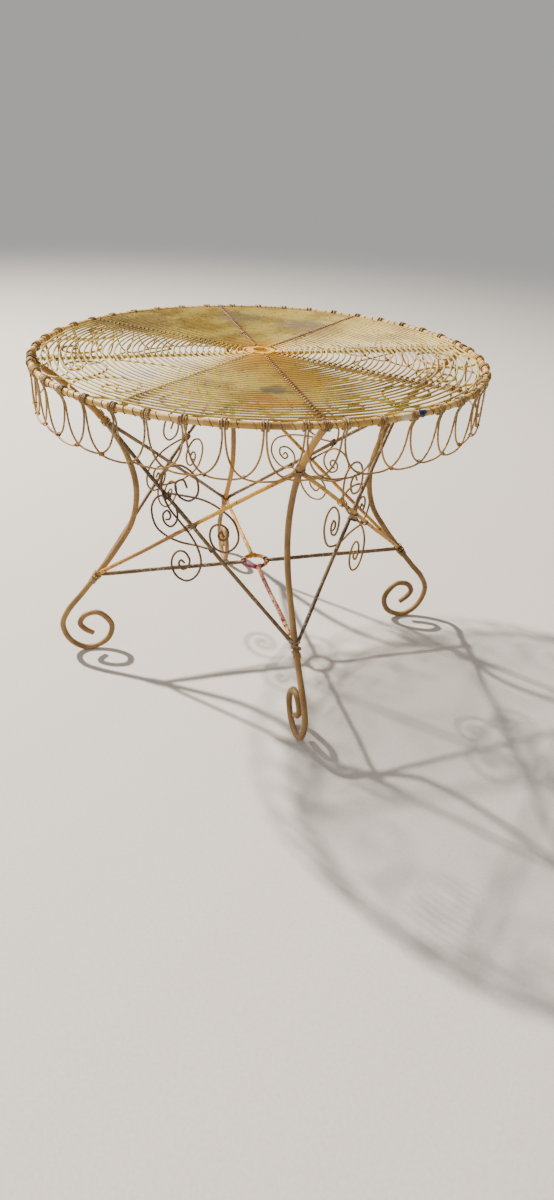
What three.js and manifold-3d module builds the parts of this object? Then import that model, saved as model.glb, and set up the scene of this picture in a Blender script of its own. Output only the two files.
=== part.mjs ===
import * as THREE from 'three';
import Module from 'manifold-3d';
import { mergeVertices } from 'three/addons/utils/BufferGeometryUtils.js';

// A round wirework garden table: a spiral wire top on eight spokes inside a
// rim hoop, a scalloped wire apron, four scroll-footed legs, crossed braces
// with volutes in every bay, and four stretchers meeting at a pole ring.
// Millimetres, +Z up, origin on the floor under the centre of the top.

const wasm = await Module();
wasm.setup();

// Driving dimensions
const tableHeight = 750;
const rimRadius = 493.5;
const gap = 0.3;
const cutMargin = 2.4 * gap; // added to a diameter before it is cut out of a neighbour
const legCount = 4;
const spokeCount = 8;

// Wire and rod diameters
const rimWire = 13;
const legRod = 14;
const braceRod = 9;
const stretcherRod = 10;
const spokeRod = 7;
const topWire = 3.6;
const scrollWire = 5;
const apronWire = 4;
const starWire = 3.6;
const topClearance = 0.4; // between the spiral wire and the spokes under it

// Where the braces and stretchers meet a leg, as radius and height
const upperJoint = { radius: 350, height: 603 };
const lowerJoint = { radius: 398, height: 217 };

// Levels of the top, from the upper face down
const rimLevel = tableHeight - rimWire / 2;
const topWireLevel = tableHeight - topWire / 2;
const spokeLevel = tableHeight - topWire - topClearance - spokeRod / 2;
const flatScrollLevel = spokeLevel + (spokeRod - scrollWire) / 2;
const starLevel = spokeLevel - spokeRod / 2 - gap - starWire / 2;

// Hub, spiral and apron
const hub = { inner: 17, outer: 32, height: 3 };
const spiral = { inner: 45, outer: 473, turnPitch: 12.7, steps: 420, endAngle: 188 };
const star = { spokeRadius: 320, sectorRadius: 205 };
const apron = { scallops: 22, drop: 92, archRadius: 3, layerStep: 2.4, fullness: 0.7 };
const poleRing = { radius: 30 };
const sleeveLength = 14;

// The centre line of a leg in its own upright plane, as radius and height:
// from the rim down through the waist, round the foot and up into its scroll.
const legLine = [
  [490, 740], [442, 699], [390, 649], [upperJoint.radius, upperJoint.height],
  [311, 530], [291, 440], [305, 355], [350, 280],
  [lowerJoint.radius, lowerJoint.height], [440, 165], [477, 121], [493, 82],
  [476, 31], [436, 6.1], [388, 24], [373, 66], [411, 107], [449, 84], [421, 47],
];

// Volutes of one bay, seen from outside: distance along the bay, height and,
// where the wire leans over to meet its brace, its distance from the bay's plane.
const sideVolute = [
  [-84, 409], [-75, 412], [-71, 422], [-80, 431], [-92, 420], [-89, 403],
  [-73, 395], [-58, 406], [-52, 427], [-60, 449], [-82, 464], [-108, 457],
  [-124, 432], [-122, 405], [-109, 383], [-80, 370], [-40, 366], [2, 370],
  [58, 377, -2.9],
];
const farVolute = [
  [74, 411], [66, 419], [59, 409], [69, 401], [83, 411], [82, 429], [62, 436],
  [42, 424], [37, 401], [50, 379], [80, 376], [104, 396], [111, 420],
  [98, 450], [62, 470], [15, 480], [-66, 478, -3.3],
];
const middleVolute = [
  [-12, 334], [-21, 338], [-27, 327], [-17, 317], [-2, 327], [2, 345],
  [-10, 359], [-26, 359], [-43, 342], [-47, 318], [-33, 296], [-4, 292],
  [22, 313], [33, 346], [24, 377], [1, 405], [-28, 428], [-58, 452],
  [-76, 480], [-80, 508], [-66, 540], [-28, 554], [10, 538], [17, 504],
  [-6, 481], [-36, 488], [-42, 512], [-22, 524], [-12, 510],
];

// Flat scroll of one sector of the top: radial and sideways distance.
const flatVolute = [
  [399, -90], [391, -79], [403, -63], [423, -74], [420, -103], [390, -121],
  [355, -105], [344, -70], [361, -32], [395, -9], [440, 6], [469, 33],
  [478, 66], [463, 112], [415, 165],
];

const steel = { roughness: 0.62, metalness: 0.25 };
const paints = {
  rim: { color: 0xe0b982, ...steel },
  top: { color: 0xd8b878, ...steel },
  leg: { color: 0xb98a4a, ...steel },
  brace: { color: 0xa87c46, ...steel },
  scroll: { color: 0x6d5230, ...steel },
  hub: { color: 0xd99a2e, ...steel },
  binding: { color: 0xc9a066, ...steel },
  ring: { color: 0x9a6a5c, ...steel },
};

// A path whose steps follow its points instead of its length.
class PointPath extends THREE.CatmullRomCurve3 {
  getUtoTmapping(u) {
    return u;
  }
}

// A flat spiral of even pitch. Equal steps in radius to the power 3/2 keep the
// straight pieces of every turn equally close to the true curve.
class SpiralPath extends THREE.Curve {
  getPoint(t, target = new THREE.Vector3()) {
    const start = spiral.inner ** 1.5;
    const end = spiral.outer ** 1.5;
    const radius = (start + t * (end - start)) ** (2 / 3);
    const angle = (2 * Math.PI * (radius - spiral.inner)) / spiral.turnPitch;
    return target.set(radius * Math.cos(angle), radius * Math.sin(angle), topWireLevel);
  }

  getUtoTmapping(u) {
    return u;
  }
}

// A regular outline whose flats face the two axes of the section.
function section(diameter, sides) {
  const points = [];
  for (let i = 0; i < sides; i += 1) {
    const angle = (2 * Math.PI * (i + 0.5)) / sides;
    points.push(new THREE.Vector2(Math.cos(angle), Math.sin(angle)).multiplyScalar(diameter / 2));
  }
  return new THREE.Shape(points);
}

function sweep(path, diameter, sides, steps) {
  const settings = { extrudePath: path, steps, bevelEnabled: false };
  return new THREE.ExtrudeGeometry(section(diameter, sides), settings);
}

function straight(from, to, diameter, sides) {
  return sweep(new THREE.LineCurve3(from, to), diameter, sides, 1);
}

function toSolid(geometry) {
  const bare = geometry.clone();
  bare.deleteAttribute('normal');
  bare.deleteAttribute('uv');
  const merged = mergeVertices(bare, 1e-4);
  const vertProperties = new Float32Array(merged.attributes.position.array);
  const triVerts = new Uint32Array(merged.index.array);
  return new wasm.Manifold(new wasm.Mesh({ numProp: 3, vertProperties, triVerts }));
}

function toGeometry(solid) {
  const mesh = solid.getMesh();
  const geometry = new THREE.BufferGeometry();
  geometry.setAttribute('position', new THREE.BufferAttribute(mesh.vertProperties, 3));
  geometry.setIndex(new THREE.BufferAttribute(mesh.triVerts, 1));
  return geometry;
}

// What is left of a piece once every neighbour is cut out of it.
function cut(geometry, neighbours) {
  let solid = toSolid(geometry);
  for (const neighbour of neighbours) {
    solid = solid.subtract(toSolid(neighbour));
  }
  return toGeometry(solid);
}

function radial(angle, radius, height) {
  return new THREE.Vector3(radius * Math.cos(angle), radius * Math.sin(angle), height);
}

// Legs stand at 0, 90, 180 and 270 degrees; a bay lies between two of them.
const quarter = (2 * Math.PI) / legCount;
const sector = (2 * Math.PI) / spokeCount;
const legSides = 8;
const legSteps = 36;
const voluteStepsPerPoint = 1.35;
const flatScrollSteps = 16;

function legPath(angle) {
  return new PointPath(legLine.map(([radius, height]) => radial(angle, radius, height)));
}

function legBody(angle, extra) {
  return sweep(legPath(angle), legRod + extra, legSides, legSteps);
}

function rimBody(extra) {
  const geometry = new THREE.TorusGeometry(rimRadius, (rimWire + extra) / 2, 8, 48);
  return geometry.translate(0, 0, rimLevel);
}

function spokeBody(extra) {
  const end = rimRadius - rimWire / 2 - 2 * gap;
  const inner = new THREE.Vector3(hub.inner + 3, 0, spokeLevel);
  return straight(inner, new THREE.Vector3(end, 0, spokeLevel), spokeRod + extra, 6);
}

// The leg is notched under the rim and its spoke, and its foot is worn flat.
function legGeometry() {
  const floor = new THREE.BoxGeometry(400, 100, 40).translate(420, 0, -20); // top face at z = 0
  return cut(legBody(0, 0), [rimBody(cutMargin), spokeBody(cutMargin), floor]);
}

// A bay's own plane leans inwards from the lower joints to the upper ones.
function bayPoint(along, height, outwards) {
  const lean = (lowerJoint.radius - upperJoint.radius) / (upperJoint.height - lowerJoint.height);
  const depth = (upperJoint.radius + (upperJoint.height - height) * lean) / Math.SQRT2 + outwards;
  const middle = quarter / 2;
  return new THREE.Vector3(
    depth * Math.cos(middle) - along * Math.sin(middle),
    depth * Math.sin(middle) + along * Math.cos(middle),
    height,
  );
}

// Each brace bows by half its thickness, so that the pair cross side by side.
const braceBow = (braceRod + gap) / 2;

function braceGeometry(side) {
  const high = bayPoint((-side * upperJoint.radius) / Math.SQRT2, upperJoint.height, 0);
  const low = bayPoint((side * lowerJoint.radius) / Math.SQRT2, lowerJoint.height, 0);
  const outwards = radial(quarter / 2, side * braceBow * 2, 0);
  const bend = high.clone().add(low).multiplyScalar(0.5).add(outwards);
  const rod = sweep(new THREE.QuadraticBezierCurve3(high, bend, low), braceRod, 6, 6);
  return cut(rod, [legBody(0, cutMargin), legBody(quarter, cutMargin)]);
}

function volute(points, side) {
  const clear = side * (braceBow + braceRod / 2 + scrollWire / 2 + gap);
  const path = new PointPath(
    points.map(([along, height, outwards = clear]) => bayPoint(along, height, outwards)),
  );
  return sweep(path, scrollWire, 4, Math.round(voluteStepsPerPoint * points.length));
}

function stretcherGeometry() {
  const from = new THREE.Vector3(poleRing.radius + 1, 0, lowerJoint.height);
  const to = new THREE.Vector3(lowerJoint.radius, 0, lowerJoint.height);
  return cut(straight(from, to, stretcherRod, 6), [poleRingBody(cutMargin), legBody(0, cutMargin)]);
}

function poleRingBody(extra) {
  const geometry = new THREE.TorusGeometry(poleRing.radius, (stretcherRod + extra) / 2, 6, 24);
  return geometry.translate(0, 0, lowerJoint.height);
}

// A wound sleeve on a leg, a short way along it from a joint.
function sleeveGeometry(joint, along) {
  const inner = legRod / 2 - 1;
  const outer = legRod / 2 + 3;
  const half = sleeveLength / 2;
  const profile = [[inner, -half], [outer, -half], [outer, half], [inner, half], [inner, -half]];
  const ring = new THREE.LatheGeometry(profile.map(([x, y]) => new THREE.Vector2(x, y)), 8);
  const path = legPath(0);
  const index = legLine.findIndex(([radius]) => radius === joint.radius);
  const place = index / (legLine.length - 1);
  const middle = path.getPoint(place);
  const heading = path.getTangent(place);
  ring.applyQuaternion(new THREE.Quaternion().setFromUnitVectors(new THREE.Vector3(0, 1, 0), heading));
  ring.translate(...middle.addScaledVector(heading, along).toArray());
  return cut(ring, [legBody(0, cutMargin)]);
}

// One wire of the apron: flattened half ellipses hung side by side under the rim,
// with a small arch at every tie. The second wire is half a scallop further round.
// Sine and cosine to a power below 1 make the curve fuller than an ellipse.
function apronGeometry(layer) {
  const steps = 5;
  const radius = rimRadius + layer * apron.layerStep;
  const span = (2 * Math.PI) / apron.scallops;
  const arch = apron.archRadius / radius;
  const top = tableHeight - rimWire - gap - apronWire / 2;
  const points = [];
  for (let i = 0; i < apron.scallops; i += 1) {
    const middle = (i + 0.5 + layer * 0.25) * span;
    for (let j = 0; j <= steps; j += 1) {
      const turn = (Math.PI * j) / steps;
      const across = Math.sign(Math.cos(turn)) * Math.abs(Math.cos(turn)) ** apron.fullness;
      const down = Math.abs(Math.sin(turn)) ** apron.fullness;
      const angle = middle - (span / 2 - arch) * across;
      const low = top - apron.archRadius - (apron.drop - apron.archRadius) * down;
      points.push(radial(angle, radius, low));
    }
    points.push(radial(middle + span / 2, radius, top));
  }
  const path = new PointPath(points, true, 'catmullrom', 0.5);
  return new THREE.TubeGeometry(path, points.length, apronWire / 2, 4, true);
}

// Two mirrored volutes crossing on the centre line of a sector.
function flatScrollGeometry() {
  let solid = null;
  for (const side of [-1, 1]) {
    const points = flatVolute.map(([out, across]) => {
      const place = new THREE.Vector3(out, side * across, flatScrollLevel);
      return place.applyAxisAngle(new THREE.Vector3(0, 0, 1), sector / 2);
    });
    const wire = toSolid(sweep(new PointPath(points), scrollWire, 4, flatScrollSteps));
    solid = solid ? solid.add(wire) : wire;
  }
  return toGeometry(solid);
}

// A closed wire zigzagging between the spokes and the middles of the sectors.
function starGeometry() {
  const corners = [];
  for (let i = 0; i < 2 * spokeCount; i += 1) {
    const radius = i % 2 ? star.sectorRadius : star.spokeRadius;
    corners.push(radial((i * sector) / 2, radius, starLevel));
  }
  const points = [];
  corners.forEach((corner, i) => {
    const next = corners[(i + 1) % corners.length];
    points.push(corner, corner.clone().lerp(next, 0.1), corner.clone().lerp(next, 0.9));
  });
  const path = new PointPath(points, true, 'catmullrom', 0.3);
  return new THREE.TubeGeometry(path, points.length, starWire / 2, 4, true);
}

function hubGeometry() {
  const bottom = tableHeight - hub.height;
  const profile = [
    [hub.inner, bottom], [hub.outer, bottom], [hub.outer, tableHeight],
    [hub.inner, tableHeight], [hub.inner, bottom],
  ];
  const ring = new THREE.LatheGeometry(profile.map(([x, y]) => new THREE.Vector2(x, y)), 32);
  return ring.rotateX(Math.PI / 2);
}

const group = new THREE.Group();

function add(name, geometry, paint, angle = 0) {
  const mesh = new THREE.Mesh(geometry, new THREE.MeshStandardMaterial(paint));
  mesh.name = name;
  mesh.rotation.z = angle;
  group.add(mesh);
}

// The same piece again at every step round the table.
function addRound(name, geometry, paint, count) {
  for (let i = 0; i < count; i += 1) {
    add(`${name}_${i + 1}`, geometry, paint, (2 * Math.PI * i) / count);
  }
}

add('rim_hoop', rimBody(0), paints.rim);
const spiralTurns = (spiral.outer - spiral.inner) / spiral.turnPitch;
const spiralTurn = THREE.MathUtils.degToRad(spiral.endAngle - 360 * spiralTurns);
const spiralGeometry = sweep(new SpiralPath(), topWire * Math.SQRT2, 4, spiral.steps);
add('top_spiral_wire', spiralGeometry, paints.top, spiralTurn);
add('hub_ring', hubGeometry(), paints.hub);
addRound('spoke', spokeBody(0), paints.top, spokeCount);
addRound('flat_scroll', flatScrollGeometry(), paints.scroll, spokeCount);
add('star_wire', starGeometry(), paints.scroll);
add('apron_wire_outer', apronGeometry(1), paints.binding);
add('apron_wire_inner', apronGeometry(-1), paints.binding);

addRound('leg', legGeometry(), paints.leg, legCount);
addRound('upper_binding', sleeveGeometry(upperJoint, -20), paints.binding, legCount);
addRound('lower_binding', sleeveGeometry(lowerJoint, 18), paints.binding, legCount);
addRound('brace_outer', braceGeometry(1), paints.brace, legCount);
addRound('brace_inner', braceGeometry(-1), paints.brace, legCount);
addRound('middle_volute', volute(middleVolute, 1), paints.scroll, legCount);
addRound('side_volute', volute(sideVolute, -1), paints.scroll, legCount);
addRound('far_volute', volute(farVolute, -1), paints.scroll, legCount);

add('pole_ring', poleRingBody(0), paints.ring);
addRound('stretcher', stretcherGeometry(), paints.brace, legCount);

export default group;
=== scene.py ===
import math

import bpy
import numpy as np
from mathutils import Matrix, Vector


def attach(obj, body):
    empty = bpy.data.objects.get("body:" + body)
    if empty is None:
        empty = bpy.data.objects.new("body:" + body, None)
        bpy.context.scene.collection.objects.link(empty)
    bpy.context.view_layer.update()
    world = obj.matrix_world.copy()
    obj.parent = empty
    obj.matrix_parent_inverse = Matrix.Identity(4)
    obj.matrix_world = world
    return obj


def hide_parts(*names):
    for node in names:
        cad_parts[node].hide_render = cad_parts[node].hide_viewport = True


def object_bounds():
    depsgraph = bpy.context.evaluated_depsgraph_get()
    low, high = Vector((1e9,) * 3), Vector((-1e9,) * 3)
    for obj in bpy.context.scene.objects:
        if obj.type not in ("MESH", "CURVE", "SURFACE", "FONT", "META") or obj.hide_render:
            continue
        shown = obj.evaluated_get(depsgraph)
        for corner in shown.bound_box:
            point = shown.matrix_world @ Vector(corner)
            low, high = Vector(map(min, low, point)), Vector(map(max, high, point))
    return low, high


# A round wirework garden table, painted many times. Shapes are worked out in
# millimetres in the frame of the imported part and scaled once, in buildPiece.
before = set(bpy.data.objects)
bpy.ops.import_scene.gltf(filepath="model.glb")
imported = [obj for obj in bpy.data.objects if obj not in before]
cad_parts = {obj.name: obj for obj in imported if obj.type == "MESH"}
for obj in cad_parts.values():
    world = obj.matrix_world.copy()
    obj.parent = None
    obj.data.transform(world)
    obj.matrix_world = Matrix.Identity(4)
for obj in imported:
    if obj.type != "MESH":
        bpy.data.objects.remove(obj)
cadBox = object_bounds()
print("frame loaded:", len(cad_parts), "nodes")

millimetre = 0.001
fullTurn = 2 * math.pi
topFace = cadBox[1].z / millimetre
legCount = 4
spokeCount = 8
quarterTurn = fullTurn / legCount
sectorTurn = fullTurn / spokeCount
upright = np.array([0.0, 0.0, 1.0])


def unit(vectors):
    # each vector divided by its own length
    return vectors / np.maximum(np.linalg.norm(vectors, axis=-1, keepdims=True), 1e-9)


def turned(points, angle):
    # points turned by an angle about the upright axis of the table
    c, s = math.cos(angle), math.sin(angle)
    return points @ np.array([[c, s, 0], [-s, c, 0], [0, 0, 1]])


def around(angle, radius, level):
    # cylinder coordinates to points: radius·cos, radius·sin, level
    angle, radius, level = np.broadcast_arrays(angle, radius, level)
    return np.stack([radius * np.cos(angle), radius * np.sin(angle), level], -1)


def fading(off, width):
    # a bell, 1 where off is 0: exp(−(off/width)²)
    return np.exp(-((off / width) ** 2))


def wander(distance, seed, spans, size):
    # slow unevenness: the mean of one sine per span, each with its own phase
    phases = np.random.default_rng(seed).uniform(0, fullTurn, len(spans))
    waves = [np.sin(fullTurn * distance / span + phase) for span, phase in zip(spans, phases)]
    return size * sum(waves) / len(spans)


def throughPoints(points, perSpan, closed=False):
    # a centripetal Catmull-Rom curve: one cubic between each pair of points,
    # its end slopes weighed by the square roots of the chord lengths
    points = np.asarray(points, float)
    if closed:
        p = np.concatenate([points[-1:], points, points[:2]])
    else:
        p = np.concatenate([2 * points[:1] - points[1:2], points, 2 * points[-1:] - points[-2:-1]])
    p0, p1, p2, p3 = p[:-3], p[1:-2], p[2:-1], p[3:]
    d0, d1, d2 = [
        np.sqrt(np.linalg.norm(b - a, axis=1, keepdims=True))
        for a, b in ((p0, p1), (p1, p2), (p2, p3))
    ]
    m1 = ((p1 - p0) / d0 - (p2 - p0) / (d0 + d1) + (p2 - p1) / d1) * d1
    m2 = ((p2 - p1) / d1 - (p3 - p1) / (d1 + d2) + (p3 - p2) / d2) * d1
    p1, p2, m1, m2 = [a[:, None] for a in (p1, p2, m1, m2)]
    u = np.linspace(0, 1, perSpan, endpoint=False)[None, :, None]
    curve = p1 + m1 * u + (3 * (p2 - p1) - 2 * m1 - m2) * u**2 + (2 * (p1 - p2) + m1 + m2) * u**3
    curve = curve.reshape(-1, points.shape[1])
    return curve if closed else np.concatenate([curve, points[-1:]])


def lengthAlong(path):
    # running length from the first point of a path
    steps = np.linalg.norm(np.diff(path, axis=0), axis=-1)
    return np.concatenate([[0.0], np.cumsum(steps)])


def tube(path, outward, across, thick=None, sides=10, closed=False, dome=0.9, bound=0.0, squareness=1.0):
    # An oval carried along one path or a stack of them. Ring point at angle a:
    # path + thick·cos(a)·outward + across·sin(a)·side. Open ends get a dome of
    # three shrinking rings. squareness below 1 turns the oval into a soft box.
    path = path[None] if path.ndim == 2 else path
    spread = path.shape[:2]
    outward = np.broadcast_to(outward, path.shape)
    across = np.broadcast_to(np.asarray(across, float), spread)
    thick = across if thick is None else np.broadcast_to(np.asarray(thick, float), spread)
    bound = np.broadcast_to(np.asarray(bound, float), spread)
    if not closed:
        lift = np.radians([86, 60, 30])
        rise, shrink = dome * np.sin(lift), np.cos(lift)
        first = unit(path[:, :1] - path[:, 1:2])
        last = unit(path[:, -1:] - path[:, -2:-1])
        start = path[:, :1] + first * (across[:, :1] * rise)[..., None]
        end = path[:, -1:] + last * (across[:, -1:] * rise[::-1])[..., None]
        path = np.concatenate([start, path, end], 1)
        pad = [(0, 0), (3, 3)]
        outward = np.pad(outward, pad + [(0, 0)], mode="edge")
        scale = np.concatenate([shrink, np.ones(spread[1]), shrink[::-1]])
        across = np.pad(across, pad, mode="edge") * scale
        thick = np.pad(thick, pad, mode="edge") * scale
        bound = np.pad(bound, pad, mode="edge")
        tangent = unit(np.gradient(path, axis=1))
    else:
        tangent = unit(np.roll(path, -1, 1) - np.roll(path, 1, 1))
    side = unit(np.cross(tangent, outward))
    out = np.cross(side, tangent)
    a = np.linspace(0, fullTurn, sides, endpoint=False)
    c, s = [np.sign(v) * np.abs(v) ** squareness for v in (np.cos(a), np.sin(a))]
    grid = path[:, :, None] + out[:, :, None] * (thick[..., None] * c)[..., None]
    grid = grid + side[:, :, None] * (across[..., None] * s)[..., None]
    return {"grid": grid, "closed": closed, "bound": np.broadcast_to(bound[..., None], grid.shape[:3])}


def coil(middles, axes, outwards, halfOut, halfSide, turns, wire, pitch, ringsPerTurn=14, sides=6, bound=0.7):
    # Binding wire round a stack of places: middle + axis·pitch·turn number
    # + outward·halfOut·cos + side·halfSide·sin of the wrap angle.
    middles = np.asarray(middles, float).reshape(-1, 3)
    axes = unit(np.broadcast_to(axes, middles.shape))
    outwards = np.broadcast_to(outwards, middles.shape)
    sideways = unit(np.cross(axes, outwards))
    outwards = np.cross(sideways, axes)
    turn = np.linspace(-turns / 2, turns / 2, int(turns * ringsPerTurn) + 1)
    c, s = np.cos(fullTurn * turn), np.sin(fullTurn * turn)
    path = (
        middles[:, None]
        + axes[:, None] * (pitch * turn)[:, None]
        + outwards[:, None] * (halfOut * c)[:, None]
        + sideways[:, None] * (halfSide * s)[:, None]
    )
    away = outwards[:, None] * (c / halfOut)[:, None] + sideways[:, None] * (s / halfSide)[:, None]
    return tube(path, unit(away), wire / 2, sides=sides, bound=bound)


def spun(skin, angle):
    # the same skin turned about the axis of the table
    return {**skin, "grid": turned(skin["grid"], angle)}


def buildPiece(name, skins, finish, replaced=()):
    # One mesh from several skins: quads between neighbouring rings, one face on
    # each open end, and the "bound" value kept as a point attribute.
    corners, bounds, quads, caps = [], [], [], []
    base = 0
    for skin in skins:
        grid = skin["grid"]
        index = base + np.arange(grid[..., 0].size).reshape(grid.shape[:3])
        base += index.size
        corners.append(grid.reshape(-1, 3))
        bounds.append(skin["bound"].reshape(-1))
        here = index if skin["closed"] else index[:, :-1]
        there = np.roll(index, -1, 1) if skin["closed"] else index[:, 1:]
        strip = np.stack([here, np.roll(here, -1, 2), np.roll(there, -1, 2), there], -1)
        quads.append(strip.reshape(-1, 4))
        if not skin["closed"]:
            caps += [index[:, 0, ::-1], index[:, -1]]
    faces = quads + caps
    loops = np.concatenate([f.ravel() for f in faces]).astype(np.int32)
    sizes = np.concatenate([np.full(f.shape[0], f.shape[1]) for f in faces])
    starts = np.concatenate([[0], np.cumsum(sizes)[:-1]]).astype(np.int32)
    mesh = bpy.data.meshes.new(name)
    mesh.vertices.add(base)
    mesh.vertices.foreach_set("co", (np.concatenate(corners) * millimetre).astype(np.float32).ravel())
    mesh.loops.add(loops.size)
    mesh.loops.foreach_set("vertex_index", loops)
    mesh.polygons.add(starts.size)
    mesh.polygons.foreach_set("loop_start", starts)
    mesh.update(calc_edges=True)
    mesh.validate()
    mesh.attributes.new("bound", "FLOAT", "POINT").data.foreach_set(
        "value", np.concatenate(bounds).astype(np.float32)
    )
    mesh.shade_smooth()
    mesh.materials.append(finishes[finish]["material"])
    piece = bpy.data.objects.new(name, mesh)
    bpy.context.scene.collection.objects.link(piece)
    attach(piece, "root")
    if replaced:
        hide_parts(*replaced)
    return piece


# Finishes. Two node groups do all the ageing, each material gives its own values.
def paint(red, green, blue):
    # a screen colour from 0 to 255 made linear
    channel = [c / 255 for c in (red, green, blue)]
    linear = [c / 12.92 if c <= 0.04045 else ((c + 0.055) / 1.055) ** 2.4 for c in channel]
    return (*linear, 1.0)


def place(tree, kind, settings=None, inputs=None):
    # a node with its settings, and inputs given as numbers or as other sockets
    made = tree.nodes.new(kind)
    for key, value in (settings or {}).items():
        setattr(made, key, value)
    for key, value in (inputs or {}).items():
        if isinstance(value, bpy.types.NodeSocket):
            tree.links.new(value, made.inputs[key])
        else:
            made.inputs[key].default_value = value
    return made


def reckon(tree, operation, *values):
    # arithmetic on one to three values or sockets
    return place(tree, "ShaderNodeMath", {"operation": operation}, dict(enumerate(values))).outputs[0]


def between(tree, value, low, high):
    # 0 below low, 1 above high and a smooth step between them
    settings = {"interpolation_type": "SMOOTHSTEP"}
    return place(tree, "ShaderNodeMapRange", settings, {0: value, 1: low, 2: high}).outputs[0]


def mixed(tree, factor, first, second, mode="MIX"):
    settings = {"data_type": "RGBA", "blend_type": mode}
    return place(tree, "ShaderNodeMix", settings, {0: factor, 6: first, 7: second}).outputs[2]


def speckle(tree, spot, scale, detail, roughness=0.55):
    inputs = {"Vector": spot, "Scale": scale, "Detail": detail, "Roughness": roughness}
    return place(tree, "ShaderNodeTexNoise", None, inputs).outputs[0]


def newGroup(name, ins, outs):
    group = bpy.data.node_groups.new(name, "ShaderNodeTree")
    for direction, sockets in (("INPUT", ins), ("OUTPUT", outs)):
        for label, kind in sockets:
            group.interface.new_socket(label, in_out=direction, socket_type="NodeSocket" + kind)
    entry = group.nodes.new("NodeGroupInput").outputs
    result = group.nodes.new("NodeGroupOutput").inputs
    return group, entry, result


# Ageing that all finishes share. A chip shows where its noise passes chipLevel,
# which clusters, wear and bindings lower. Noise scales are per metre.
ageing = {
    "patchEdge": (0.44, 0.6), "mottleScale": 85.0, "mottleRange": 0.9, "mottleBase": 0.55, "mottleShare": 0.8,
    "clusterScale": 14.0, "byCluster": 0.24, "byWear": 0.22, "byBinding": 0.1,
    "chipLevel": 0.86, "chipEdge": 0.035, "pitEdge": (0.05, 0.09), "creepEdge": (0.3, 0.62),
    "creepShare": 0.5, "roughness": 0.5, "chipRoughness": 0.22,
    "grainScale": 620.0, "grainHeight": 0.35, "mottleHeight": 0.5, "chipDepth": 0.6,
}


def makeAgedPaint():
    # Layers from the top down: the last coat in two shades, mottling, chips
    # down to the undercoat, pits down to rust, and rust creeping out of bindings.
    ins = [
        ("Top Coat", "Color"), ("Second Shade", "Color"), ("Undercoat", "Color"), ("Rust", "Color"),
        ("Wear", "Float"), ("Patch Scale", "Float"), ("Chip Scale", "Float"), ("Bound", "Float"),
    ]
    outs = [("Color", "Color"), ("Roughness", "Float"), ("Height", "Float")]
    group, entry, result = newGroup("agedPaint", ins, outs)
    spot = group.nodes.new("ShaderNodeTexCoord").outputs["Object"]

    def times(first, second):
        return reckon(group, "MULTIPLY", first, second)

    def plus(first, second):
        return reckon(group, "ADD", first, second)

    patches = speckle(group, spot, entry["Patch Scale"], 3.0)
    patched = between(group, patches, *ageing["patchEdge"])
    shade = mixed(group, patched, entry["Top Coat"], entry["Second Shade"])
    mottle = speckle(group, spot, ageing["mottleScale"], 4.0, 0.65)
    lightness = reckon(group, "MULTIPLY_ADD", mottle, ageing["mottleRange"], ageing["mottleBase"])
    grey = place(group, "ShaderNodeCombineColor", None, dict.fromkeys(range(3), lightness)).outputs[0]
    shade = mixed(group, ageing["mottleShare"], shade, grey, "MULTIPLY")
    chips = speckle(group, spot, entry["Chip Scale"], 5.0, 0.68)
    clusters = speckle(group, spot, ageing["clusterScale"], 2.0)
    drive = plus(times(clusters, ageing["byCluster"]), times(entry["Wear"], ageing["byWear"]))
    drive = plus(drive, times(entry["Bound"], ageing["byBinding"]))
    low = reckon(group, "SUBTRACT", ageing["chipLevel"], drive)
    chipped = between(group, chips, low, plus(low, ageing["chipEdge"]))
    pitted = between(group, chips, *[plus(low, edge) for edge in ageing["pitEdge"]])
    shade = mixed(group, chipped, shade, entry["Undercoat"])
    shade = mixed(group, pitted, shade, entry["Rust"])
    creep = times(entry["Bound"], between(group, mottle, *ageing["creepEdge"]))
    shade = mixed(group, times(creep, ageing["creepShare"]), shade, entry["Rust"])
    group.links.new(shade, result["Color"])
    dull = reckon(group, "MULTIPLY_ADD", chipped, ageing["chipRoughness"], ageing["roughness"])
    group.links.new(dull, result["Roughness"])
    grain = speckle(group, spot, ageing["grainScale"], 2.0)
    fine = times(grain, ageing["grainHeight"])
    height = reckon(group, "SUBTRACT", fine, times(chipped, ageing["chipDepth"]))
    group.links.new(plus(height, times(mottle, ageing["mottleHeight"])), result["Height"])
    return group


def makeColourSpot():
    # A ragged spot of another colour round a point: full inside the reach,
    # gone a little further out, its edge pushed in and out by noise.
    ins = [
        ("Color", "Color"), ("Stain", "Color"), ("Middle", "Vector"),
        ("Reach", "Float"), ("Raggedness", "Float"), ("Strength", "Float"),
    ]
    group, entry, result = newGroup("colourSpot", ins, [("Color", "Color")])
    spot = group.nodes.new("ShaderNodeTexCoord").outputs["Object"]
    gap = place(group, "ShaderNodeVectorMath", {"operation": "DISTANCE"}, {0: spot, 1: entry["Middle"]})
    rough = reckon(group, "SUBTRACT", speckle(group, spot, 38.0, 4.0, 0.6), 0.5)
    push = reckon(group, "MULTIPLY", reckon(group, "MULTIPLY", rough, entry["Raggedness"]), entry["Reach"])
    away = reckon(group, "DIVIDE", reckon(group, "ADD", gap.outputs["Value"], push), entry["Reach"])
    inside = reckon(group, "SUBTRACT", 1.0, between(group, away, 0.55, 1.1))
    share = reckon(group, "MULTIPLY", inside, entry["Strength"])
    group.links.new(mixed(group, share, entry["Color"], entry["Stain"]), result["Color"])
    return group


agedPaint = makeAgedPaint()
colourSpot = makeColourSpot()
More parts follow.
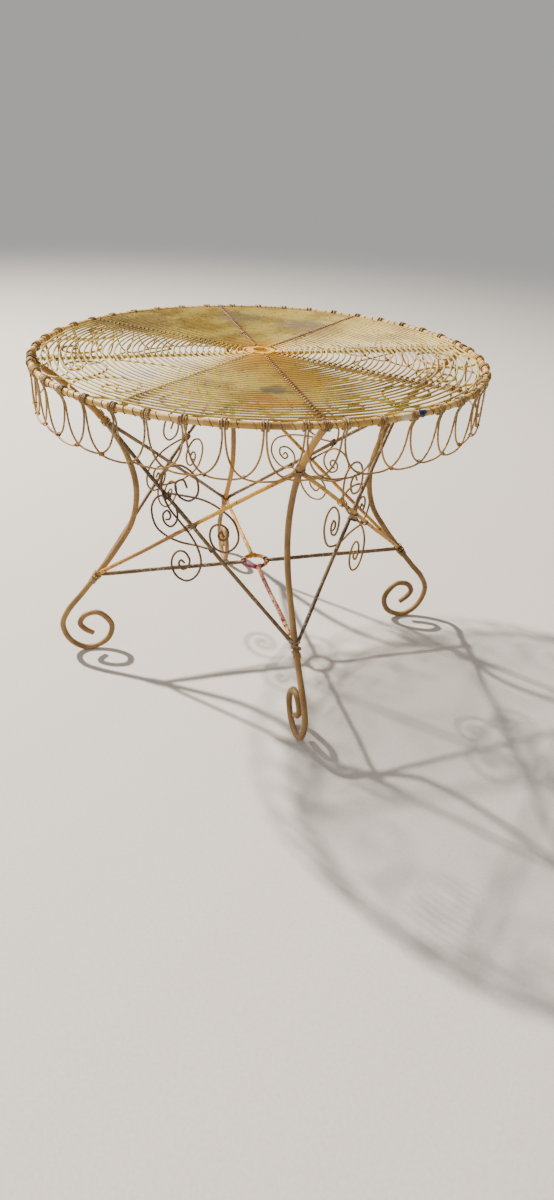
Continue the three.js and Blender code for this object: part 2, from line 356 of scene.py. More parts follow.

# Each finish: coats from the top down, wear from 0 to 1, size of the patches,
# and spots of colour (stains, and on the top one patch of painted shade) as colour, middle in metres, reach,
# raggedness and strength.
finishes = {
    "rimPaint": {
        "slot": "rim_paint",
        "coats": [paint(208, 168, 96), paint(184, 142, 66), paint(104, 72, 38), paint(56, 40, 26)],
        "wear": 0.6, "patchScale": 7.0, "chipScale": 170.0, "bump": 0.35,
        "colourSpots": [
            (paint(222, 208, 176), (0.166, -0.465, 0.748), 0.03, 1.6, 0.8),
            (paint(28, 34, 84), (0.188, -0.456, 0.748), 0.016, 1.2, 1.0),
            (paint(110, 78, 44), (-0.08, -0.488, 0.748), 0.03, 2.0, 0.6),
        ],
    },
    "topWirePaint": {
        "slot": "top_wire_paint",
        "coats": [paint(192, 168, 84), paint(160, 134, 58), paint(128, 90, 52), paint(70, 52, 34)],
        "wear": 0.6, "patchScale": 9.0, "chipScale": 120.0, "bump": 0.25,
        "colourSpots": [
            (paint(200, 148, 30), (0.0, 0.0, 0.748), 0.11, 1.4, 0.75),
            (paint(178, 130, 40), (-0.03, -0.1, 0.748), 0.11, 2.0, 0.5),
            (paint(196, 146, 52), (0.02, -0.24, 0.748), 0.09, 2.0, 0.35),
            (paint(66, 76, 84), (-0.04, -0.3, 0.748), 0.035, 2.2, 0.6),
            (paint(204, 126, 66), (-0.07, -0.372, 0.748), 0.05, 2.2, 0.4),
            (paint(116, 92, 112), (-0.277, -0.161, 0.748), 0.045, 2.4, 0.5),
            (paint(112, 104, 100), (0.17, 0.25, 0.748), 0.07, 2.2, 0.5),
            # A darker brown patch on the top: worn paint, darkened further as painted shade of the wire
            # undersides.
            (paint(96, 74, 54), (-0.24, 0.3, 0.748), 0.13, 2.4, 0.45),
            (paint(98, 94, 88), (0.02, 0.34, 0.748), 0.07, 2.4, 0.45),
            (paint(208, 136, 84), (0.3, -0.13, 0.748), 0.09, 2.2, 0.45),
            (paint(106, 100, 94), (0.36, -0.05, 0.748), 0.05, 2.4, 0.4),
        ],
    },
    "hubPaint": {
        "slot": "hub_paint",
        "coats": [paint(222, 168, 50), paint(196, 138, 18), paint(136, 76, 36), paint(66, 44, 28)],
        "wear": 0.45, "patchScale": 26.0, "chipScale": 190.0, "bump": 0.35,
        "colourSpots": [(paint(228, 206, 70), (0.03, -0.004, 0.75), 0.014, 1.4, 0.8)],
    },
    "legPaint": {
        "slot": "leg_paint",
        "coats": [paint(150, 116, 66), paint(126, 96, 54), paint(86, 62, 38), paint(54, 40, 28)],
        "wear": 0.5, "patchScale": 8.0, "chipScale": 150.0, "bump": 0.4,
        "colourSpots": [
            (paint(184, 134, 40), (0.0, -0.42, 0.68), 0.1, 1.4, 0.7),
            (paint(184, 138, 62), (-0.41, 0.0, 0.67), 0.09, 1.6, 0.5),
            (paint(190, 130, 46), (0.0, 0.38, 0.3), 0.16, 1.6, 0.6),
            (paint(84, 54, 34), (0.36, 0.0, 0.6), 0.1, 2.6, 0.6),
        ],
    },
    "bracePaint": {
        "slot": "brace_paint",
        "coats": [paint(118, 92, 56), paint(84, 64, 42), paint(178, 166, 142), paint(56, 42, 30)],
        "wear": 0.66, "patchScale": 6.0, "chipScale": 130.0, "bump": 0.4,
        "colourSpots": [(paint(206, 140, 48), (0.1, -0.33, 0.54), 0.16, 1.2, 0.75)],
    },
    "ochreBracePaint": {
        "slot": "brace_paint",
        "coats": [paint(208, 154, 56), paint(176, 124, 48), paint(90, 62, 32), paint(62, 44, 28)],
        "wear": 0.72, "patchScale": 7.0, "chipScale": 130.0, "bump": 0.4,
        "colourSpots": [(paint(110, 78, 44), (-0.3, -0.12, 0.33), 0.14, 2.0, 0.6)],
    },
    # The tan wire paint made darker for the volutes of bay 3: painted shade over their brown paint, with gold
    # under it.
    "shadedWirePaint": {
        "slot": "dark_wire_paint",
        "coats": [paint(84, 60, 36), paint(110, 76, 38), paint(150, 104, 44), paint(58, 40, 28)],
        "wear": 0.3, "patchScale": 10.0, "chipScale": 140.0, "bump": 0.35,
        "colourSpots": [(paint(168, 122, 40), (-0.2, -0.33, 0.41), 0.04, 1.6, 0.6)],
    },
    "tanWirePaint": {
        "slot": "dark_wire_paint",
        "coats": [paint(156, 122, 70), paint(126, 96, 54), paint(82, 60, 38), paint(58, 42, 30)],
        "wear": 0.35, "patchScale": 10.0, "chipScale": 140.0, "bump": 0.35,
        "colourSpots": [],
    },
    "apronPaint": {
        "slot": "apron_paint",
        "coats": [paint(182, 138, 66), paint(140, 104, 52), paint(206, 186, 144), paint(88, 58, 32)],
        "wear": 0.6, "patchScale": 8.0, "chipScale": 120.0, "bump": 0.35,
        "colourSpots": [],
    },
    "spokePaint": {
        "slot": "worn_rose_paint",
        "coats": [paint(172, 122, 82), paint(146, 94, 70), paint(116, 70, 54), paint(78, 52, 40)],
        "wear": 0.5, "patchScale": 12.0, "chipScale": 110.0, "bump": 0.4,
        "colourSpots": [(paint(190, 138, 34), (0.0, 0.0, 0.745), 0.1, 1.4, 0.6)],
    },
    "wornRosePaint": {
        "slot": "worn_rose_paint",
        "coats": [paint(214, 162, 104), paint(186, 112, 70), paint(116, 40, 62), paint(70, 44, 34)],
        "wear": 1.0, "patchScale": 14.0, "chipScale": 90.0, "bump": 0.45,
        "colourSpots": [
            (paint(138, 42, 74), (-0.012, -0.028, 0.213), 0.024, 1.4, 0.85),
            (paint(206, 146, 50), (0.0, 0.04, 0.22), 0.03, 1.2, 0.8),
            (paint(118, 46, 66), (0.0, -0.13, 0.215), 0.05, 2.6, 0.7),
        ],
    },
}


# depth of the coats in metres, for the bump of every finish
coatDepth = 0.0006


def makeFinish(name, look):
    # one material: aged paint, its spots of colour in turn (stains, and on the top one patch of painted
    # shade), then the shader with bump
    material = bpy.data.materials.new(name)
    material.use_nodes = True
    tree = material.node_tree
    shader = tree.nodes["Principled BSDF"]
    bound = place(tree, "ShaderNodeAttribute", {"attribute_name": "bound"}).outputs["Fac"]
    coats = dict(zip(("Top Coat", "Second Shade", "Undercoat", "Rust"), look["coats"]))
    values = {"Wear": look["wear"], "Bound": bound}
    values.update({"Patch Scale": look["patchScale"], "Chip Scale": look["chipScale"]})
    paintLayers = place(tree, "ShaderNodeGroup", {"node_tree": agedPaint}, {**coats, **values})
    colour = paintLayers.outputs["Color"]
    for stain, middle, reach, raggedness, strength in look["colourSpots"]:
        inputs = {
            "Color": colour, "Stain": stain, "Middle": middle,
            "Reach": reach, "Raggedness": raggedness, "Strength": strength,
        }
        colour = place(tree, "ShaderNodeGroup", {"node_tree": colourSpot}, inputs).outputs["Color"]
    tree.links.new(colour, shader.inputs["Base Color"])
    tree.links.new(paintLayers.outputs["Roughness"], shader.inputs["Roughness"])
    bumpInputs = {"Strength": look["bump"], "Distance": coatDepth, "Height": paintLayers.outputs["Height"]}
    bump = place(tree, "ShaderNodeBump", None, bumpInputs)
    tree.links.new(bump.outputs["Normal"], shader.inputs["Normal"])
    shader.inputs["Specular IOR Level"].default_value = 0.35
    return material


for finishName, look in finishes.items():
    look["material"] = makeFinish(finishName, look)
print("finishes made:", len(finishes))

# The rim hoop and the thin seams wound round it between the ties.
rim = {
    "radius": 493.5, "wire": 13.0, "scallops": 22, "seamWire": 1.5, "seamTilt": 3.2, "seamStep": 0.8,
    "seamStart": 3.6, "seamTurns": 1.04, "seamPlaces": (0.16, 0.34), "tiePlace": 0.25, "tieReach": 8.0,
    "seed": 4,
}
rimLevel = topFace - rim["wire"] / 2
span = fullTurn / rim["scallops"]
tieAngles = (np.arange(2 * rim["scallops"]) * 0.5 + rim["tiePlace"]) * span


def onRim(angle, wrap, reach):
    # a point round the hoop's own section, reach from its centre line, and the
    # direction away from that line
    angle, wrap, reach = np.broadcast_arrays(angle, wrap, reach)
    away = around(angle, np.cos(wrap), np.sin(wrap))
    return around(angle, rim["radius"] + reach * np.cos(wrap), rimLevel + reach * np.sin(wrap)), away


def nearTie(angle):
    # 1 at a tie and fading out over some 8 mm of rim on each side
    off = (angle / span - rim["tiePlace"]) % 0.5
    off = np.minimum(off, 0.5 - off) * span * rim["radius"]
    return fading(off, rim["tieReach"])


rimAngles = np.linspace(0, fullTurn, 720, endpoint=False)
rimSwell = 1 + wander(rimAngles, 3, (fullTurn / 44, fullTurn / 31, fullTurn / 17), 0.035)
rimPath = around(rimAngles, rim["radius"] + wander(rimAngles, 5, (fullTurn / 3, fullTurn / 5), 0.5), rimLevel)
rimTube = tube(rimPath, upright, rim["wire"] / 2 * rimSwell, sides=14, closed=True, bound=nearTie(rimAngles))
buildPiece("rimHoop", [rimTube], "rimPaint", ["rim_hoop"])

seamRandom = np.random.default_rng(rim["seed"])
seamAngles = (tieAngles[:, None] + np.array(rim["seamPlaces"]) * span).ravel()
seamAngles = seamAngles + seamRandom.uniform(-0.03, 0.03, seamAngles.size) * span
seamTilt = rim["seamTilt"] * seamRandom.uniform(0.4, 1.5, seamAngles.size)
wrap = np.linspace(0, fullTurn * rim["seamTurns"], 28)
lean = seamTilt[:, None] * np.sin(wrap) / rim["radius"] + rim["seamStep"] * wrap / fullTurn / rim["radius"]
seamPath, seamAway = onRim(seamAngles[:, None] + lean, wrap + rim["seamStart"], rim["wire"] / 2 + 0.35)
buildPiece("rimSeams", [tube(seamPath, seamAway, rim["seamWire"] / 2, sides=6, bound=1.6)], "rimPaint")
print("rim made")

# Apron wires: each scallop is one wire, hooked over the rim at both its ends.
apron = {
    "wire": 4.0, "drop": 100.0, "fullness": 0.7, "unevenDrop": 3.0, "layerStep": 2.4, "legGap": 2.4,
    "hookTurns": 1.15, "hookStep": 3.9, "hookRings": 30, "hookRust": 1.0, "easeDepth": 15.0,
    "lean": 2.2, "ripple": 1.2, "crossWire": 1.3, "seed": 11,
}
hookReach = rim["wire"] / 2 + apron["wire"] / 2 + 0.1


def apronLean(angle, depth):
    # the apron leans in and out a little as it goes round, more at its foot
    share = depth / apron["drop"]
    return apron["lean"] * np.sin(2 * angle + 0.8) * share + apron["ripple"] * np.sin(5 * angle) * share


def apronWire(layer):
    # A half ellipse made fuller by p below 1: angle = middle − half·cosᵖ t and
    # level = rim − drop·sinᵖ t. The radius eases from outside the rim to the
    # layer's own; hooks wind on at both ends, stepping towards the middle.
    middles = ((np.arange(rim["scallops"]) + 0.5 + layer * 0.25) * span)[:, None]
    half = span / 2 - apron["legGap"] / rim["radius"]
    uneven = np.random.default_rng(apron["seed"]).uniform(-1, 1, (rim["scallops"], 1))
    drops = apron["drop"] + apron["unevenDrop"] * uneven
    t = np.linspace(0, math.pi, 49)[None, 1:-1]
    angle = middles - half * np.sign(np.cos(t)) * np.abs(np.cos(t)) ** apron["fullness"]
    depth = drops * np.sin(t) ** apron["fullness"]
    own = rim["radius"] + layer * apron["layerStep"] + apronLean(angle, depth)
    ease = fading(depth, apron["easeDepth"])
    swag = around(angle, own + (rim["radius"] + hookReach - own) * ease, rimLevel - depth)
    swagAway = around(angle, 1.0, 0.0 * depth)
    wraps = np.linspace(apron["hookTurns"] * fullTurn, 0, apron["hookRings"])[None]
    step = apron["hookStep"] * wraps / fullTurn / rim["radius"]
    left, leftAway = onRim(middles - half + step, wraps, hookReach)
    right, rightAway = onRim((middles + half - step)[:, ::-1], wraps[:, ::-1], hookReach)
    path = np.concatenate([left, swag, right], 1)
    away = np.concatenate([leftAway, swagAway, rightAway], 1)
    hooks = np.full(apron["hookRings"], apron["hookRust"])
    worn = np.concatenate([hooks, 0.8 * np.abs(np.cos(t[0])) ** 4, hooks])
    return tube(path, away, apron["wire"] / 2, sides=8, bound=worn[None])


buildPiece("apronWireOuter", [apronWire(1)], "apronPaint", ["apron_wire_outer"])
buildPiece("apronWireInner", [apronWire(-1)], "apronPaint", ["apron_wire_inner"])

crossAngles = np.arange(2 * rim["scallops"]) * span / 2 + span * 0.5
crossTurn = math.acos(0.5 ** (1 / apron["fullness"]))
crossDepth = apron["drop"] * math.sin(crossTurn) ** apron["fullness"]
crossRadius = rim["radius"] + apronLean(crossAngles, crossDepth)
crossSpots = around(crossAngles, crossRadius, rimLevel - crossDepth)
crossAxes = around(crossAngles + fullTurn / 4, 1.0, 0.0)
crossTies = coil(
    crossSpots, crossAxes, around(crossAngles, 1.0, 0.0), halfOut=5.1, halfSide=3.4, turns=3,
    wire=apron["crossWire"], pitch=1.5, ringsPerTurn=10, sides=5, bound=0.9,
)
buildPiece("apronCrossTies", [crossTies], "apronPaint")
print("apron made")

# The spiral of the top, with a tail hooked to the rim and a lead to the hub.
spiral = {
    "inner": 45.0, "outer": 473.0, "turnPitch": 12.7, "endAngle": math.radians(188), "wire": 4.3,
    "step": 8.5, "sag": 0.7, "wobble": 1.5, "pulledAt": math.radians(290), "pull": 17.0, "pulledTurns": 10,
    "leadRadius": 33.5, "leadRings": 22, "tailReach": 8.6, "tieReach": 6.0,
}
wireLevel = topFace - spiral["wire"] / 2
spiralLength = math.pi * (spiral["outer"] ** 2 - spiral["inner"] ** 2) / spiral["turnPitch"]
share = np.linspace(0, 1, int(spiralLength / spiral["step"]))
spiralRadius = np.sqrt(spiral["inner"] ** 2 + share * (spiral["outer"] ** 2 - spiral["inner"] ** 2))
spiralTurns = (spiral["outer"] - spiral["inner"]) / spiral["turnPitch"]
spiralStart = spiral["endAngle"] - fullTurn * spiralTurns
spiralAngle = spiralStart + fullTurn * (spiralRadius - spiral["inner"]) / spiral["turnPitch"]


def fromSpoke(angle, radius):
    # distance sideways to the nearest spoke
    off = (angle + sectorTurn / 2) % sectorTurn - sectorTurn / 2
    return np.abs(radius * np.sin(off))


def pulledOut(angle, radius):
    # The outer turns are drawn to the rim on one side of the table:
    # pull·share², faded round the table as a cosine.
    reach = spiral["pulledTurns"] * spiral["turnPitch"]
    outerShare = np.clip((radius - spiral["outer"] + reach) / reach, 0, 1)
    off = (angle - spiral["pulledAt"] + math.pi) % fullTurn - math.pi
    return spiral["pull"] * outerShare**2 * np.clip(np.cos(0.95 * off), 0, 1)


distance = share * spiralLength
free = np.abs(np.sin(spokeCount / 2 * spiralAngle)) * np.clip(spiralRadius / 200, 0.15, 1)
uneven = wander(distance, 21, (230, 410, 710, 1330), spiral["wobble"]) * free
pulled = pulledOut(spiralAngle, spiralRadius)
sagging = spiral["sag"] * free * (0.5 + 0.5 * np.sin(spiralAngle * 3 + spiralRadius))
bySpoke = fading(fromSpoke(spiralAngle, spiralRadius), spiral["tieReach"])
spiralPath = around(spiralAngle, spiralRadius + uneven + pulled, wireLevel - sagging)
leadAngles = spiralStart - np.linspace(math.radians(200), math.radians(4), spiral["leadRings"])
leadShare = (leadAngles - leadAngles[0]) / (spiralStart - leadAngles[0])
leadRadius = spiral["leadRadius"] + (spiral["inner"] - spiral["leadRadius"]) * leadShare**0.8
leadPath = around(leadAngles, leadRadius, wireLevel)
spiralPath = np.concatenate([leadPath, spiralPath])
bySpoke = np.concatenate([np.full(spiral["leadRings"], 0.3), bySpoke])
spiralTube = tube(spiralPath, upright, spiral["wire"] / 2, sides=8, bound=0.75 * bySpoke)
tailAngles = spiral["endAngle"] + np.radians([-1.2, 0.0, 1.4, 2.4])
tailStart = around(tailAngles, np.array([473, 474, 477, 482]), wireLevel + np.array([0, 0, 0.6, 2.2]))
tailWraps = np.radians([105, 60, 15, -30, -75, -120, -170, -215])
tailSpread = np.radians(np.linspace(3.0, 3.9, tailWraps.size))
tailHook = onRim(spiral["endAngle"] + tailSpread, tailWraps, spiral["tailReach"])[0]
tailPath = throughPoints(np.concatenate([tailStart, tailHook]), 6)
tailMiddle = around(spiral["endAngle"] + math.radians(3), rim["radius"], rimLevel)
tailAway = unit(tailPath - tailMiddle + 8 * upright)
tailTube = tube(tailPath, tailAway, spiral["wire"] / 2, sides=8, bound=0.4)
buildPiece("topSpiralWire", [spiralTube, tailTube], "topWirePaint", ["top_spiral_wire"])
print("spiral made:", len(spiralPath), "rings")

# Spokes under the spiral, and the lacing that ties every turn of it to them.
spoke = {"rod": 7.0, "drop": 4.0, "inner": 19.5, "outer": 486.4, "lacingWire": 2.0, "lacingSide": 5.3}
spokeLevel = topFace - spoke["drop"] - spoke["rod"] / 2
spokeOut = np.linspace(spoke["inner"], spoke["outer"], 90)
spokeAngles = np.arange(spokeCount) * sectorTurn
laceMiddle = (spokeLevel - spoke["rod"] / 2 + topFace) / 2
laceHalf = (topFace - spokeLevel + spoke["rod"] / 2) / 2 + spoke["lacingWire"] / 2 + 0.1


def lacing(spokeAngle, shift, hand, rust):
    # A helix whose axis lies between spoke and spiral. It is at its highest
    # over each turn of the spiral: out = radius of turn + pitch·turn number,
    # side = lacingSide·sin, level = middle + half·cos.
    first = (spokeAngle - spiralStart) / fullTurn % 1
    turn = np.linspace(first - 0.4, math.floor(spiralTurns - first) + first + 0.4, 34 * 12)
    out = spiral["inner"] + spiral["turnPitch"] * turn
    phase = fullTurn * (turn - first) + shift
    side = hand * spoke["lacingSide"] * np.sin(phase)
    level = laceMiddle + laceHalf * np.cos(phase)
    shifted = out + wander(out, 7, (90, 170), 0.8) + pulledOut(spokeAngle, out)
    path = np.stack([shifted, side, level], -1)
    away = np.stack([0 * out, side / spoke["lacingSide"], np.cos(phase)], -1)
    path, away = turned(path, spokeAngle), turned(unit(away), spokeAngle)
    return tube(path, away, spoke["lacingWire"] / 2, sides=5, bound=rust)


# Paint and rust of each spoke and its lacing: half of them are as pale as the spiral.
paleSpokes = (0, 3, 4, 5)
for k, angle in enumerate(spokeAngles):
    spokeFinish, rust = ("topWirePaint", 0.1) if k in paleSpokes else ("spokePaint", 0.7)
    side = wander(spokeOut, 30 + k, (260, 430), 0.6)
    path = np.stack([spokeOut, side, np.full(spokeOut.size, spokeLevel)], -1)
    rod = tube(turned(path, angle), upright, spoke["rod"] / 2, sides=10, bound=rust / 2)
    buildPiece(f"spokeRod{k + 1}", [rod], spokeFinish, [f"spoke_{k + 1}"])
    strands = [lacing(angle, shift, hand, rust) for shift, hand in ((0.0, 1), (0.4, -1))]
    buildPiece(f"spokeLacing{k + 1}", strands, spokeFinish)
print("spokes made")

# The hub: a soft-edged washer, a short collar under it and a bead on each spoke.
hub = {"inner": 17.0, "outer": 32.0, "height": 3.0, "rise": 0.3, "collarDrop": 9.0, "beadAt": 27.5}
hubAngles = np.linspace(0, fullTurn, 96, endpoint=False)
washerMiddle = (hub["inner"] + hub["outer"]) / 2
washerPath = around(hubAngles, washerMiddle, topFace - hub["height"] / 2 + hub["rise"])
washer = tube(
    washerPath, upright, (hub["outer"] - hub["inner"]) / 2, hub["height"] / 2 + hub["rise"], 24, True,
    squareness=0.45, bound=0.15,
)
lipPath = around(hubAngles, hub["inner"] + 1.6, topFace + 0.6)
lip = tube(lipPath, upright, 1.7, 1.3, 12, True, bound=0.4)
collarPath = around(hubAngles, hub["inner"] + 1.4, topFace - hub["height"] - hub["collarDrop"] / 2)
collar = tube(collarPath, upright, 1.3, hub["collarDrop"] / 2 + 0.6, 16, True, squareness=0.5, bound=0.6)
beadAlong = np.linspace(-5.5, 4.5, 7)[None]
beadPath = around(spokeAngles[:, None], hub["beadAt"] + beadAlong, topFace + 0.1)
beadWidth = 3.4 * np.sqrt(1.05 - (beadAlong / 6.2) ** 2)
beads = tube(beadPath, upright, beadWidth, 1.3, 12, bound=0.3, dome=0.4)
buildPiece("hubCollar", [washer, lip, collar, beads], "hubPaint", ["hub_ring"])

# Flat scrolls of the top: two mirrored wires in each sector, and their ties.
scroll = {"wire": 5.0, "eyeLength": 10, "tieWire": 1.6, "bayTieWire": 1.9}
scrollLevel = spokeLevel + (spoke["rod"] - scroll["wire"]) / 2
flatVolute = [
    (399, -90), (391, -79), (403, -63), (423, -74), (420, -103), (390, -121), (355, -105), (344, -70),
    (361, -32), (395, -9), (440, 6), (469, 33), (478, 66), (463, 112), (415, 165),
]
for k in range(spokeCount):
    middleTurn = (k + 0.5) * sectorTurn
    skins = []
    for hand in (-1, 1):
        points = np.array([(out, hand * across, scrollLevel) for out, across in flatVolute])
        path = turned(throughPoints(points, 9), middleTurn)
        skins.append(tube(path, upright, scroll["wire"] / 2, sides=8, bound=0.15))
    tieTurns = middleTurn + np.radians([0.0, -21.6, 21.6])
    spots = around(tieTurns, np.array([420.0, 440, 440]), scrollLevel - 0.4)
    axes = around(middleTurn + np.radians([0.0, -22.5, 22.5]), 1.0, 0.0)
    skins.append(coil(
        spots, axes, upright, halfOut=4.6, halfSide=7.0, turns=3,
        wire=scroll["tieWire"], pitch=1.9, ringsPerTurn=12, sides=5,
    ))
    buildPiece(f"flatScroll{k + 1}", skins, "topWirePaint", [f"flat_scroll_{k + 1}"])

# The star wire zigzags under the spokes and is tied to each of them.
star = {"wire": 3.6, "gap": 0.3, "spokeRadius": 320.0, "sectorRadius": 205.0, "bend": 0.05}
starLevel = spokeLevel - spoke["rod"] / 2 - star["gap"] - star["wire"] / 2
cornerCount = np.arange(2 * spokeCount)
cornerRadius = np.where(cornerCount % 2, star["sectorRadius"], star["spokeRadius"])
corners = around(cornerCount * sectorTurn / 2, cornerRadius, starLevel)
following = np.roll(corners, -1, 0)
starShares = np.array([0, star["bend"], 0.35, 0.65, 1 - star["bend"]])[None, :, None]
starPoints = (corners[:, None] * (1 - starShares) + following[:, None] * starShares).reshape(-1, 3)
starPath = throughPoints(starPoints, 5, True)
starTube = tube(starPath, upright, star["wire"] / 2, sides=8, closed=True, bound=0.2)
starSpots = around(spokeAngles, star["spokeRadius"] - 2, (spokeLevel + starLevel) / 2)
starTies = coil(
    starSpots, around(spokeAngles, 1.0, 0.0), upright, halfOut=7.0, halfSide=5.0, turns=4,
    wire=scroll["tieWire"], pitch=1.8, ringsPerTurn=12, sides=5,
)
buildPiece("starWire", [starTube, starTies], "topWirePaint", ["star_wire"])
print("top made")

# Legs: a bar of slightly uneven thickness carried along the scrolled line,
# pressed flat where it stands, and lashed to the rim at its head.
leg = {
    "rod": 14.0, "seed": 50, "lashWire": 2.5, "lashTurns": 4, "lashPitch": 3.7, "lashSlack": 7.0,
    "lashTowards": math.radians(221), "coilReach": 8.3, "coilPitch": 2.7, "coilTurns": 5,
    "headLength": 22, "tailLength": 14,
}
sideways = np.array([0.0, 1.0, 0.0])
upperJoint = np.array([350.0, 603.0])
lowerJoint = np.array([398.0, 217.0])
legLine = [
    (490, 740), (442, 699), (390, 649), (350, 603), (311, 530), (291, 440), (305, 355), (350, 280),
    (398, 217), (440, 165), (477, 121), (493, 82), (476, 31), (436, 6.1), (388, 24), (373, 66),
    (403, 106), (436, 103), (451, 81), (441, 63), (421, 48),
]
legPath = throughPoints([(radius, 0.0, level) for radius, level in legLine], 14)
legLength = lengthAlong(legPath)


def legSkin(seed):
    swell = 1 + wander(legLength, seed, (70, 130, 210), 0.05)
    head = fading(legLength, leg["headLength"])
    tail = fading(legLength[-1] - legLength, leg["tailLength"])
    across = leg["rod"] / 2 * swell * (1 - 0.15 * head - 0.1 * tail)
    thick = leg["rod"] / 2 * swell * (1 + 0.12 * head - 0.06 * tail)
    sway = wander(legLength, seed + 9, (300, 520), 0.9) * np.clip(legLength / 150, 0, 1)
    path = legPath + np.stack([0 * sway, sway, 0 * sway], -1)
    joints = [np.linalg.norm(legPath[:, [0, 2]] - joint, axis=1) for joint in (upperJoint, lowerJoint)]
    bound = sum(fading(off, leg["rod"]) for off in joints) * 0.8
    skin = tube(path, sideways, across, thick, 16, dome=0.35, bound=bound)
    skin["grid"][..., 2] = np.maximum(skin["grid"][..., 2], 0.0)
    return skin


def legBinding(joint, along, loose):
    # a tight coil on the leg a short way from the joint, and loose loops over it
    index = int(np.argmin(np.linalg.norm(legPath[:, [0, 2]] - joint, axis=1)))
    heading = unit(legPath[index + 1] - legPath[index - 1])
    middle = legPath[index] + heading * along
    outward = np.cross(sideways, heading)
    loops = [coil(
        middle, heading, outward, halfOut=leg["coilReach"], halfSide=leg["coilReach"],
        turns=leg["coilTurns"], wire=leg["lashWire"], pitch=leg["coilPitch"],
        ringsPerTurn=16, sides=7, bound=0.6,
    )]
    for shift, tilt in loose:
        loops.append(coil(
            legPath[index] + heading * shift, unit(heading + tilt * sideways), outward,
            halfOut=9.8, halfSide=11.0, turns=2, wire=leg["lashWire"], pitch=2.8,
            ringsPerTurn=18, sides=7, bound=0.7,
        ))
    return loops


def rimLashing():
    # Turns round the rim at the head of a leg, let out where the leg leaves:
    # reach = tight reach + slack·cos²(wrap − direction of the leg).
    wraps = np.linspace(0, fullTurn * leg["lashTurns"], 18 * leg["lashTurns"]) + 0.7
    slack = leg["lashSlack"] * np.clip(np.cos(wraps - leg["lashTowards"]), 0, 1) ** 2
    step = (wraps / fullTurn - leg["lashTurns"] / 2) * leg["lashPitch"] / rim["radius"]
    path, away = onRim(step, wraps, rim["wire"] / 2 + leg["lashWire"] / 2 + 0.1 + slack)
    return tube(path, away, leg["lashWire"] / 2, sides=7, bound=0.8)


def buildTurned(name, k, skins, finish, node=None):
    # piece number k + 1 of four: the skins turned to leg or bay k
    replaced = [f"{node}_{k + 1}"] if node else []
    buildPiece(f"{name}{k + 1}", [spun(s, k * quarterTurn) for s in skins], finish, replaced)


for k in range(legCount):
    buildTurned("leg", k, [legSkin(leg["seed"] + k), rimLashing()], "legPaint", "leg")
    upper = legBinding(upperJoint, -20, ((-3, 0.5), (3, -0.45)))
    lower = legBinding(lowerJoint, 18, ((-6, 0.4), (1, -0.35), (7, 0.2)))
    buildTurned("upperBinding", k, upper, "apronPaint", "upper_binding")
    buildTurned("lowerBinding", k, lower, "apronPaint", "lower_binding")
print("legs made")

# Bays between the legs: crossed braces, three volutes and their ties. Volute
# points are millimetres along the bay and above the floor, and run out from
# an eye; the middle volute ends in a second eye.
brace = {"rod": 9.0, "gap": 0.3, "trim": 0.008, "flatLength": 26.0}
braceBow = (brace["rod"] + brace["gap"]) / 2
voluteClear = braceBow + brace["rod"] / 2 + scroll["wire"] / 2 + brace["gap"]
bayLean = (lowerJoint[0] - upperJoint[0]) / (upperJoint[1] - lowerJoint[1])
diagonal = math.sqrt(0.5)
bayOut = np.array([diagonal, diagonal, 0.0])
bayAlong = np.array([-diagonal, diagonal, 0.0])


def bayPoints(along, level, outwards):
    # a bay's own plane leans in from the lower joints to the upper ones
    along, level, outwards = [a[..., None] for a in np.broadcast_arrays(along, level, outwards)]
    depth = (upperJoint[0] + (upperJoint[1] - level) * bayLean) * diagonal + outwards
    return depth * bayOut + along * bayAlong + level * upright


def braceLine(side, share):
    # from the upper joint on one side down to the lower joint on the other,
    # bowed outwards as 4·bow·share·(1 − share)
    along = side * (-upperJoint[0] * (1 - share) + lowerJoint[0] * share) * diagonal
    level = upperJoint[1] * (1 - share) + lowerJoint[1] * share
    return bayPoints(along, level, side * braceBow * 4 * share * (1 - share))


def braceSkin(side, seed):
    share = np.linspace(brace["trim"], 1 - brace["trim"], 80)
    path = braceLine(side, share)
    length = lengthAlong(path)
    ends = fading(np.minimum(length, length[-1] - length), brace["flatLength"])
    swell = 1 + wander(length, seed, (60, 110, 190), 0.06)
    path = path + bayAlong * wander(length, seed + 3, (240, 390), 1.2)[:, None] * (1 - ends)[:, None]
    across = brace["rod"] / 2 * swell * (1 + 0.35 * ends)
    thick = brace["rod"] / 2 * swell * (1 - 0.3 * ends)
    return tube(path, bayOut, across, thick, 12, bound=0.6 * ends)


sideVolute = [
    (-84, 409), (-75, 412), (-71, 422), (-80, 431), (-92, 420), (-89, 403), (-73, 395), (-58, 406),
    (-52, 427), (-60, 449), (-82, 464), (-108, 457), (-124, 432), (-122, 405), (-109, 383), (-80, 370),
    (-40, 366), (2, 370), (58, 377, -2.9),
]
farVolute = [
    (74, 411), (66, 419), (59, 409), (69, 401), (83, 411), (82, 429), (62, 436), (42, 424), (37, 401),
    (50, 379), (80, 376), (104, 396), (111, 420), (98, 450), (62, 470), (15, 480), (-66, 478, -3.3),
]
middleVolute = [
    (-12, 334), (-21, 338), (-27, 327), (-17, 317), (-2, 327), (2, 345), (-10, 359), (-26, 359),
    (-43, 342), (-47, 318), (-33, 296), (-4, 292), (22, 313), (33, 346), (24, 377), (1, 405), (-28, 428),
    (-58, 452), (-76, 480), (-80, 508), (-66, 540), (-28, 554), (10, 538), (17, 504), (-6, 481),
    (-36, 488), (-42, 512), (-22, 524), (-12, 510),
]


def voluteSkin(points, side):
    # a third number is the wire's own distance from the plane of the bay
    full = np.array([p if len(p) == 3 else (*p, side * voluteClear) for p in points], float)
    path = throughPoints(bayPoints(full[:, 0], full[:, 1], full[:, 2]), 9)
    length = lengthAlong(path)
    eye = fading(length, scroll["eyeLength"])
    return tube(path, bayOut, scroll["wire"] / 2 * (1 - 0.12 * eye), sides=10, bound=0.1)


